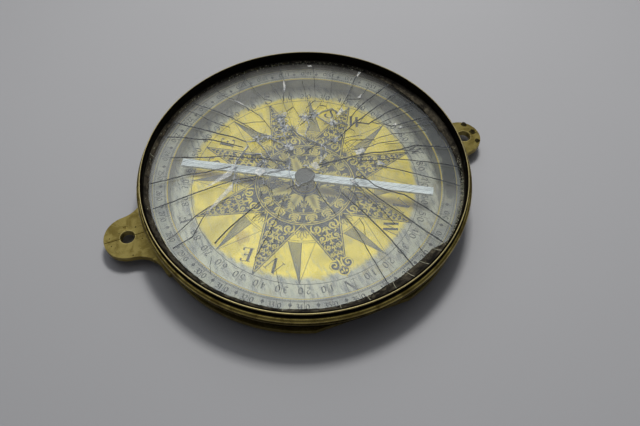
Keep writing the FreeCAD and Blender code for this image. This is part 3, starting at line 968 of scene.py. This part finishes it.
def ring_notches(finish):
    """Short dark nicks across the brass inner edge, one for each degree."""
    solid = Solid("ring_notches")
    for degree in range(360):
        azimuth = degree + 0.5
        sections = []
        for radius, z in ((RING_IN_R - 0.02, RING_TOP - 0.42), (RING_IN_R + 0.5, RING_TOP + 0.012)):
            a, b = polar(radius, azimuth - 0.23), polar(radius, azimuth + 0.23)
            sections.append([(*a, z - 0.05), (*b, z - 0.05), (*b, z), (*a, z)])
        solid.loft(sections)
    return solid.piece(finish, "case")


# ---- Cracked glass ----

# Each crack is a path of (direction, radius) places, from the rim inwards.
DARK_CRACKS = [
    [(122, 67.5), (119.5, 57), (116.7, 46.5), (115.3, 40), (113.4, 32), (110.5, 28), (105, 25)],
    [(134, 67.5), (133, 59), (131.5, 51), (130.3, 45), (127.8, 38), (126.5, 31.5)],
    [(142.3, 67), (140.2, 60), (139, 53.4), (136, 46), (134.5, 38), (132.8, 31)],
    [(152, 60), (151, 54.6), (150, 48.6), (148.5, 43), (145, 36), (143, 28), (139, 22), (135, 16),
     (127, 10)],
    [(165, 66.5), (163, 57), (161, 50), (159.6, 43), (154, 32.5)],
    [(176.7, 66), (175, 55), (172.6, 45.4), (170, 36), (167.7, 30), (167, 22), (161, 16.5)],
    [(191.6, 65), (191, 60.5), (188, 53), (186, 48.6), (184.3, 43.7), (183, 34.5)],
    [(196, 65), (195.8, 56), (193, 52), (190, 49), (187.5, 46)],
    [(205, 51), (203.2, 43.7), (201.8, 34), (200, 24.4)],
    [(225.5, 47), (225.6, 39), (225, 32), (224.3, 25.3), (217.6, 15.6)],
    [(280.3, 65), (281.3, 55.7), (282.2, 48.5), (284.8, 38), (285.9, 27)],
    [(292, 65), (293, 59.3), (295, 49.7), (297, 40), (299.8, 30), (304.8, 19)],
    [(303.5, 46), (309, 36.5), (315.7, 28), (323.7, 22.5)],
    [(307, 66.5), (308.6, 55), (310.8, 47), (314, 37), (321.4, 27.5)],
    [(314.6, 67), (319.3, 54), (323.4, 44), (323.7, 38), (325.6, 31.3), (331, 27.4), (332.5, 23), (326, 21)],
    [(332.7, 68), (335, 59), (338, 48.5), (341.4, 40.4), (345.5, 32.6)],
    [(341.5, 68.4), (344, 59.4), (346, 51.4), (350, 40), (351.3, 31), (353.4, 26.5), (354.3, 23.3),
     (1, 22)],
    [(351.4, 67), (354.3, 57), (356.4, 51.4), (356, 44), (357.2, 37), (359.7, 30.6), (1.4, 24), (3, 16),
     (13, 7)],
    [(5.8, 65.5), (7.5, 57.5), (10, 49)],
    [(9.2, 67), (11, 55.7), (13.3, 47.3), (18, 45.3)],
    [(18.3, 66.7), (20.3, 58.3), (22.2, 51.7), (22.7, 45.7), (23.4, 40.2), (29.7, 37.5)],
    [(27, 65), (27.8, 57.4), (29, 48.7), (29.6, 42.4), (31.2, 36), (31.7, 28)],
    [(32.7, 67), (33.5, 60), (34.6, 54.7), (35.5, 49.4), (36.3, 44), (36.2, 38)],
    [(46.4, 68), (46.9, 61.6), (46.4, 55.5), (45.8, 47.4), (46, 37), (45.5, 33)],
]
THIN_CRACKS = [
    [(97, 67), (96.4, 60), (96, 55), (94.5, 50), (93.3, 39), (93, 34)],
    [(97, 64), (102, 59), (105, 55), (107, 53.8)],
    [(110.3, 67), (110.2, 60.7), (108, 55), (105.2, 46), (102.5, 39.4), (102, 34), (102.2, 29)],
    [(126.4, 67.5), (125.3, 58.7), (125.4, 53), (124.3, 47.5), (123, 43.3), (126, 41)],
    [(115, 40), (108, 37), (102, 34.5)],
    [(81, 67.5), (80.7, 60), (80, 54), (82, 48), (84, 43), (83.4, 36.6), (82.8, 28)],
    [(87.2, 56), (85.3, 49), (84, 43)],
    [(79.3, 48.7), (78.5, 43), (78.1, 39), (75, 33)],
    [(78, 39), (83.4, 36.6)],
    [(71.5, 55.5), (69, 45), (67.3, 39), (69, 34.3)],
    [(66.6, 66), (65.6, 58), (64.5, 49), (63.6, 43), (69.3, 37.8)],
    [(58, 67), (56.7, 56.7), (55.4, 49), (55.4, 43), (55.7, 40)],
    [(58.5, 47), (60, 40), (63, 36)],
    [(60, 40), (55.7, 40), (54, 38)],
    [(39.4, 59.5), (39, 50.5), (45.2, 47.5)],
    [(38.6, 49), (39, 43.7)],
    [(15.5, 62), (17, 53.6), (18.4, 47.5), (19, 43.6), (23, 42), (23.4, 40.2)],
    [(3, 60), (4.8, 52.4), (8, 45.5), (9.5, 40), (11.3, 31)],
    [(2.5, 45.6), (5.6, 36.6), (5.8, 31), (9.9, 24.3)],
    [(3, 39), (0.7, 45), (357.7, 52)],
    [(356, 44), (353, 49), (352, 52)],
    [(209, 33.4), (209, 27), (208.8, 21.7), (217.6, 15.6)],
    [(185, 21), (193, 21.5), (197, 23.6)],
    [(180, 18.6), (192, 17), (203, 18.3), (209, 21)],
    [(240.7, 57.7), (237.7, 51), (232.4, 40), (228, 32)],
    [(288, 6), (278.3, 16), (280, 24.3), (279, 28)],
    [(217.6, 15.6), (232, 17), (243, 20)],
    [(210, 12), (218, 8.5), (226, 8.2)],
    [(250, 14), (255, 9.5), (262, 6.5)],
    [(300.7, 29.5), (306, 27), (309.6, 25.4), (313, 21)],
    [(287, 41), (289, 39), (291.2, 37), (293, 33)],
    [(35, 28), (30, 26), (22, 24), (12, 23.5), (2, 23)],
    [(32, 29), (30.5, 32), (26.5, 32.5), (23.5, 31.5)],
    [(27, 25.5), (23.5, 29), (20, 31.5), (18, 33)],
    [(21, 23.8), (20.5, 27.3), (17.5, 29.5), (14, 31.5)],
    [(14, 24), (17, 29), (15, 31.8), (10.5, 35.5), (8, 36)],
    [(345.5, 22.5), (350, 24), (354.3, 26)],
    [(336, 24.6), (331, 27)],
    [(300, 60), (299, 63.5), (298, 66)],
    [(214, 62), (211, 59), (209, 56)],
    [(327, 20), (322, 24), (318, 27)],
    [(60, 28), (66, 32), (70, 35)],
    [(75, 27), (69, 30), (64, 34)],
    [(48, 20), (54, 15), (66, 12), (80, 9)],
]
PALE_CRACKS = [
    [(129.4, 29.6), (140, 29.8), (149.6, 31), (158, 30.4), (166.7, 30.7), (174, 32), (178, 32.5)],
    [(126.5, 31.5), (120, 28), (112, 27.5), (105, 25)],
    [(132, 22), (149, 17.5), (162.6, 17.2), (173, 18.2), (182, 18.8)],
    [(140, 29.8), (136, 25), (132, 22)],
    [(93, 34), (91, 28), (94, 22), (99, 15), (110, 11), (118, 8.5)],
    [(82.8, 28), (78, 22), (66, 19), (58, 18), (44, 17)],
    [(75, 33), (68, 31.5), (62, 33), (57, 36.7), (51, 39.5), (47, 38)],
    [(60, 33), (53, 31), (46.5, 30), (40, 33), (34, 33.5), (31.5, 30)],
    [(44, 17), (38, 21), (33, 25), (31.7, 28)],
    [(44, 17), (34, 12), (22, 9.5), (8, 6.5)],
    [(13, 7), (24, 13), (36, 16.5), (44, 17)],
    [(118, 8.5), (140, 7.2), (170, 6.8), (199, 6.7), (229, 8.2), (241, 6.2), (270, 5.3), (305, 4.2),
     (343, 4.6)],
    [(90, 3.4), (60, 3.6), (20, 3.0), (350, 5.0), (335, 8.5)],
    [(161, 16.5), (154, 11), (140, 7.2)],
    [(345.4, 22.5), (338, 24.5), (331, 27.3)],
    [(349.5, 31), (346, 32.6), (343.5, 36)],
    [(112, 27.5), (103, 20), (98, 15)],
    [(120, 28), (124, 22), (132, 17), (140, 12), (150, 9)],
    [(68, 31.5), (66, 27), (70, 22), (66, 19)],
    [(104, 24), (88, 22), (82, 25)],
]

# Painted reflections: pale patches where tilted pieces of the cracked glass catch the light, each a convex
# outline of (direction, radius) places.
PAINTED_GLINTS = [
    [(80.6, 58), (80.2, 52), (81.8, 48.5), (81.7, 51)],
    [(110.3, 58), (108, 54), (104.7, 46), (106.6, 52.5)],
    [(171.7, 44), (163.5, 32), (157, 30.6), (158, 33)],
    [(188, 47), (184.5, 40), (176.5, 32), (169.6, 31), (180, 38.5)],
    [(46.9, 66.9), (46.9, 63.5), (46.3, 63.3), (45.9, 66.8)],
    [(39.9, 53.8), (39.1, 51.2), (40.6, 50.6)],
    [(13.9, 50.6), (13.2, 48.4), (12.2, 49.5)],
    [(10.8, 51), (9.9, 49.6), (9.4, 51.2)],
    [(6.6, 29), (7.4, 24.6), (1.6, 25), (2.6, 29.4)],
    [(45.6, 42.5), (43.8, 37), (46.4, 36.2)],
    [(351, 33), (345.8, 35.5), (346.4, 31.8)],
    [(40, 4.6), (20, 4.3), (350, 5.0), (358, 7.2), (28, 7.4)],
    [(328, 21), (324, 22.8), (321.5, 20.5)],
    [(160.5, 22.5), (167, 19.5), (158, 17), (152, 20)],
    [(67.6, 66.3), (66.9, 65.5), (68.6, 65.2), (69.2, 66.0)],
]

# Where the glass is crushed: x, y, spread, and a count that sets how many splinters and cracks it gets.
CRUSHED = [(0.2, 33.5, 2.3, 70), (-0.5, 27.0, 2.0, 36), (-12.5, 26.0, 2.3, 34), (-2.0, 15.5, 1.7, 26),
           (11.0, 29.5, 1.9, 34), (16.0, 30.5, 1.6, 26), (22.0, 22.5, 1.9, 26), (26.2, 1.8, 1.6, 16),
           (-15.6, 12.0, 1.6, 20), (-29.5, 5.0, 1.4, 12), (18.0, -13.3, 0.9, 12), (19.0, 12.0, 1.4, 18),
           (2.6, 24.5, 1.7, 20), (-8.5, 24.5, 1.4, 16), (-28.0, 12.5, 1.0, 10), (28.5, 27.0, 1.2, 12)]


def crack_path(places, rng, wander=0.06):
    """Goes through the places in short uneven steps."""
    corners = [polar(radius, azimuth) for azimuth, radius in places]
    path = [corners[0]]
    for a, b in zip(corners, corners[1:]):
        length = math.dist(a, b)
        count = max(1, round(length / 2.4))
        for k in range(1, count + 1):
            x, y = between(a, b, k / count)
            path.append((x + rng.gauss(0, wander), y + rng.gauss(0, wander)))
    return path


def cracks(name, places, finish, seed, lip_width, depth, lean):
    """Cracks through the glass: a fin for the broken face and a fine open edge on top."""
    rng = random.Random(seed)
    solid = Solid(name)
    for crack in places:
        path = crack_path(crack, rng)
        side = rng.uniform(-lean, lean)
        solid.fin(path, 0.2 * lip_width, GLASS_TOP - depth, GLASS_TOP - 0.03, side)
        solid.low, solid.high = GLASS_TOP + 0.004, GLASS_TOP + 0.02
        width = lip_width * rng.uniform(0.7, 1.3)
        solid.ribbon(path, [width * (1.15 - 0.7 * i / len(path)) for i in range(len(path))])
    return solid.piece(finish, "case")


def shatter(name, finish, seed, width):
    """Short cracks running out from each crushed place."""
    rng = random.Random(seed)
    solid = Solid(name, GLASS_TOP + 0.004, GLASS_TOP + 0.02)
    for cx, cy, spread, count in CRUSHED:
        for _ in range(4 + count // 8):
            heading = rng.uniform(0, math.tau)
            path = [(cx, cy)]
            for _ in range(rng.randint(2, 4)):
                heading += rng.gauss(0, 0.45)
                step = spread * rng.uniform(0.5, 1.1)
                x, y = path[-1]
                path.append((x + step * math.cos(heading), y + step * math.sin(heading)))
            solid.ribbon(path, [width * (1.0 - 0.2 * i) for i in range(len(path))])
    return solid.piece(finish, "case")


def flakes(finish):
    """Painted reflections: thin pale sheets on the glass where its tilted pieces catch the light, each a
    little higher than the last.
    """
    solid = Solid("painted_glass_glints")
    for n, outline in enumerate(PAINTED_GLINTS):
        corners = [polar(radius, azimuth) for azimuth, radius in outline]
        top = [(x, y, GLASS_TOP + 0.03 + 0.002 * n) for x, y in corners]
        low = [(x, y, z - 0.02) for x, y, z in top]
        solid.loft([low, top])
    return solid.piece(finish, "case")


def ragged(rng, size, smallest, swing, turn=0.0):
    """Five corners round a middle, at uneven directions and distances."""
    corners = []
    for k in range(5):
        direction = turn + 72 * k + rng.uniform(-swing, swing)
        corners.append(polar(size * rng.uniform(smallest, 1.0), direction))
    return corners


def splinters(finish):
    """Crushed glass: small tilted chips standing in the surface."""
    rng = random.Random(41)
    solid = Solid("glass_splinters")
    for cx, cy, spread, count in CRUSHED:
        for _ in range(3 * count):
            x, y = cx + rng.gauss(0, spread * 0.7), cy + rng.gauss(0, spread * 0.7)
            size = rng.uniform(0.15, 0.6)
            turn = rng.uniform(0, 360)
            tilt = rng.uniform(-0.35, 0.35)
            high = [(x + dx, y + 0.6 * dy, GLASS_TOP + 0.02 + tilt * dx)
                    for dx, dy in ragged(rng, size, 0.5, 20, turn)]
            low = [(px, py, pz - 0.3) for px, py, pz in high]
            solid.loft([low, high])
    return solid.piece(finish, "case")


# ---- Putty ----

# How far in from the wall the putty reaches, by direction, and how high it stands.
PUTTY_REACH = [(0, 3.6, 1.6), (20, 3.2, 1.5), (34, 2.2, 1.2), (50, 1.1, 1.0), (70, 0.8, 0.9),
               (95, 0.7, 0.9), (120, 1.0, 1.2), (150, 1.5, 1.6), (180, 2.0, 2.0), (210, 2.8, 2.4),
               (240, 3.2, 2.4), (270, 3.9, 2.3), (285, 5.0, 2.2), (302, 4.6, 2.2), (308, 0.8, 0.8),
               (340, 0.7, 0.7), (346, 2.0, 1.2), (360, 3.0, 1.6)]


def putty_size(azimuth):
    """How far in the putty reaches and how high it stands in one direction."""
    azimuth %= 360
    for low, high in zip(PUTTY_REACH, PUTTY_REACH[1:]):
        if low[0] <= azimuth <= high[0]:
            return between(low[1:], high[1:], (azimuth - low[0]) / (high[0] - low[0]))
    return PUTTY_REACH[-1][1:]


def putty(finish):
    """A hand-laid bead with an uneven inner edge and a hollow, lumpy face."""
    rng = random.Random(7)
    steps = 480
    waves = [(rng.randint(5, 60), rng.uniform(0, math.tau), rng.uniform(0.4, 1.0)) for _ in range(14)]
    sections = []
    for i in range(steps):
        azimuth = 360 * i / steps
        angle = math.radians(azimuth)
        ripple = sum(size * math.sin(count * angle + phase) / count ** 0.5 for count, phase, size in waves)
        reach, rise = putty_size(azimuth)
        reach = max(0.45, reach * (1 + 0.07 * ripple) + rng.uniform(-0.1, 0.1))
        rise = max(0.3, rise * (1 + 0.05 * ripple) + rng.uniform(-0.08, 0.08))
        inner = PUTTY_OUT_R - reach
        profile = [(PUTTY_OUT_R - 0.02, 0.02), (PUTTY_OUT_R - 0.02, rise)]
        for share, height in ((0.22, 0.72), (0.45, 0.42), (0.7, 0.24), (0.9, 0.15)):
            lump = rng.uniform(-0.07, 0.07)
            profile.append((PUTTY_OUT_R - reach * share, rise * height + lump))
        profile.append((inner, 0.1))
        profile.append((inner + 0.05, 0.02))
        sections.append([(*polar(radius, azimuth), GLASS_TOP + z) for radius, z in profile])
    solid = Solid("old_putty")
    solid.loft(sections, closed=True)
    thing = solid.piece(finish, "case", flat=False)
    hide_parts("glass_putty")


def putty_splits(finish):
    """Pale cracks across the putty, where it has parted into blocks."""
    rng = random.Random(19)
    solid = Solid("putty_splits")
    for azimuth in (152, 214, 243, 262, 272, 281, 289, 296, 303):
        reach, rise = putty_size(azimuth)
        skew = rng.uniform(-1.2, 1.2)
        sections = []
        for share, height in ((0.02, 1.0), (0.25, 0.74), (0.5, 0.42), (0.75, 0.26), (0.98, 0.15)):
            turn = azimuth + skew * share
            radius = PUTTY_OUT_R - reach * share
            z = GLASS_TOP + rise * height + 0.06
            a, b = polar(radius, turn - 0.09), polar(radius, turn + 0.09)
            sections.append([(*a, z - 0.4), (*b, z - 0.4), (*b, z), (*a, z)])
        solid.loft(sections)
    return solid.piece(finish, "case")


def rim_crust(finish):
    """Crumbs of scale along the wall where the putty has fallen out."""
    rng = random.Random(23)
    solid = Solid("rim_crust")
    for _ in range(520):
        azimuth = rng.choice((rng.gauss(326, 9), rng.gauss(326, 12), rng.gauss(66, 26),
                              rng.uniform(0, 360)))
        radius = PUTTY_OUT_R - abs(rng.gauss(0, 0.7)) - 0.35
        size = rng.uniform(0.12, 0.42)
        x, y = polar(radius, azimuth)
        slope = max(0.05, 1 - (PUTTY_OUT_R - radius) * 0.6)
        z = GLASS_TOP + putty_size(azimuth)[1] * slope * 0.8
        corners = ragged(rng, size, 0.6, 22.92)
        low = [(x + dx, y + dy, z - 0.15) for dx, dy in corners]
        high = [(x + 0.6 * dx, y + 0.6 * dy, z + size * 0.5) for dx, dy in corners]
        solid.loft([low, high])
    return solid.piece(finish, "case")


# ---- Marks on the lugs ----

# Each mark's x, y and radius.
LUG_MARKS = [(-75.4, 3.8, 0.35), (-86.8, 1.7, 0.3), (-86.7, -2.3, 0.3), (-73.8, -2.8, 0.3),
             (-82.5, 3.0, 0.22), (83.0, 6.6, 1.6), (84.6, 1.0, 1.6), (84.0, -4.6, 1.4),
             (82.8, -1.8, 0.25), (-79.0, -9.6, 0.35)]


def lug_marks(finish):
    """Small dents and dark stains, each a ragged nine-sided spot."""
    rng = random.Random(5)
    solid = Solid("lug_marks", PLATE_TOP - 0.02, PLATE_TOP + 0.012)
    for x, y, radius in LUG_MARKS:
        outline = []
        for k in range(9):
            angle = math.tau * k / 9
            reach = radius * rng.uniform(0.75, 1.1)
            outline.append((x + reach * math.cos(angle), y + reach * math.sin(angle)))
        solid.patch(outline)
    return solid.piece(finish, "case")


# ---- Put together ----

def dress(node, finish):
    """Gives a CAD node its material."""
    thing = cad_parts[node]
    thing.data.materials.clear()
    thing.data.materials.append(finish)


def dress_all():
    small = plain_brass("small_brass")
    dress("case_ring", turned_brass())
    dress("base_plate", plate_brass())
    dress("lug_plugs", plain_brass("plug_brass", 0.15))
    dress("base_boss", plain_brass("boss_brass", 0.1))
    dress("boss_screws", small)
    dress("ring_screws", small)
    dress("dial_plate", dial_face())
    dress("degree_ring", ring_face())
    dress("pivot_post", small)
    dress("glass_pane", clear_glass())
    steel = needle_steel()
    dress("needle_bar", steel)
    dress("pivot_pin", steel)
    dress("needle_cap", cap_bronze())
    dress("cap_collar", plain_brass("collar_brass", 0.3))
    dress("cap_jewel", agate())


def engrave():
    """Everything that is cut into the dial and the ring, and the dust beside the ring."""
    ink = engraved("ink", INK, INK_RUBBED)
    dial_ground(engraved("matted_ground", GROUND, GROUND_RUBBED, 0.55))
    dial_scrollwork(scroll_gilt())
    dial_lines(ink)
    half_point_shading(engraved("hatching", HATCHING, HATCHING_RUBBED))
    dial_figures(ink)
    ring_division(ink)
    gap_dust(engraved("settled_dust", RING_DUST, RING_DUST_BROWN, 0.5))
    ring_notches(engraved("notch_fill", NOTCH, NOTCH_RUBBED))


def break_glass():
    """Cracks, painted reflections of tilted pieces and crushed places, all set in the upper face of the
    glass.
    """
    dark = fracture("dark_fracture", CRACK_BLACK, CRACK_GREY, 0.75)
    pale = fracture("pale_fracture", CRACK_BLUE, CRACK_PALE, 0.5, 0.15)
    white = fracture("crushed_glass", CRUSHED_GREY, CRUSHED_WHITE, 0.45)
    cracks("dark_cracks", DARK_CRACKS, dark, seed=11, lip_width=0.34, depth=1.1, lean=0.15)
    cracks("thin_cracks", THIN_CRACKS, dark, seed=12, lip_width=0.20, depth=0.7, lean=0.10)
    cracks("pale_cracks", PALE_CRACKS, pale, seed=13, lip_width=0.26, depth=1.9, lean=0.4)
    # Painted reflections of tilted pieces of glass.
    flakes(fracture("painted_glint", GLINT_GREY, GLINT_WHITE, 0.32, 0.1))
    shatter("shatter_dark", dark, seed=14, width=0.22)
    shatter("shatter_pale", white, seed=15, width=0.22)
    splinters(white)


def bed_glass():
    """The putty and what has come of it."""
    putty(old_putty())
    scale = crust()
    putty_splits(scale)
    rim_crust(scale)


def floor():
    mesh = bpy.data.meshes.new("table")
    reach = 1.6
    mesh.from_pydata([(-reach, -reach, 0), (reach, -reach, 0), (reach, reach, 0), (-reach, reach, 0)], [],
                     [(0, 1, 2, 3)])
    thing = bpy.data.objects.new("table", mesh)
    bpy.context.scene.collection.objects.link(thing)
    mesh.materials.append(table_top())


WINDOW_TOWARDS = Vector((0.08, 0.46, 0.88)).normalized()
LAMP_TOWARDS = Vector((0.22, 0.37, 0.90)).normalized()


def area_light(name, towards, reach, size, power, colour):
    """A lamp that lights surfaces but shows in no mirror image."""
    light = bpy.data.lights.new(name, "AREA")
    light.shape = "RECTANGLE"
    light.size, light.size_y = size
    light.energy = power
    light.color = colour
    thing = bpy.data.objects.new(name, light)
    thing.location = towards * reach
    thing.rotation_euler = towards.to_track_quat("Z", "Y").to_euler()
    thing.visible_glossy = False
    thing.visible_transmission = False
    bpy.context.scene.collection.objects.link(thing)


def lights():
    """A soft lamp behind and above the compass, and a room that glows round the same direction."""
    area_light("window", LAMP_TOWARDS, reach=0.6, size=(0.13, 0.11), power=2.9, colour=(1.0, 0.985, 0.95))
    world = bpy.data.worlds.new("room")
    world.use_nodes = True
    room = Nodes(world.node_tree)
    towards = room.add("ShaderNodeTexCoord", out="Generated")
    facing = room.add("ShaderNodeVectorMath", {"operation": "DOT_PRODUCT"},
                      {0: towards, 1: WINDOW_TOWARDS}, out="Value")
    glow = facing.rise(0.70, 0.97) * 0.36 + facing.rise(0.95, 0.999) * 0.50
    colour = room.mix(glow, ROOM_DIM, ROOM_BRIGHT)
    sky = room.add("ShaderNodeBackground", None, {"Color": colour, "Strength": 2.0})
    room.add("ShaderNodeOutputWorld", None, {"Surface": sky})
    bpy.context.scene.world = world
    bpy.context.scene.view_settings.view_transform = "Standard"


def camera():
    """Looks down at the dial from in front and a little to the left."""
    aim = Vector((-2.72, -26.11, 20.9)) * MM
    reach = 251.6 * MM
    azimuth, elevation = math.radians(-20.6), math.radians(56.03)
    back = Vector((math.sin(azimuth) * math.cos(elevation), -math.cos(azimuth) * math.cos(elevation),
                   math.sin(elevation)))
    lens = bpy.data.cameras.new("camera")
    lens.lens = 35.0
    lens.sensor_width = 36.0
    lens.clip_start = 0.01
    thing = bpy.data.objects.new("camera", lens)
    thing.location = aim + back * reach
    thing.rotation_euler = (-back).to_track_quat("-Z", "Y").to_euler()
    bpy.context.scene.collection.objects.link(thing)
    bpy.context.scene.camera = thing


dress_all()
engrave()
break_glass()
bed_glass()
lug_marks(plain_brass("lug_mark_stain", 0.92))
floor()
lights()
camera()
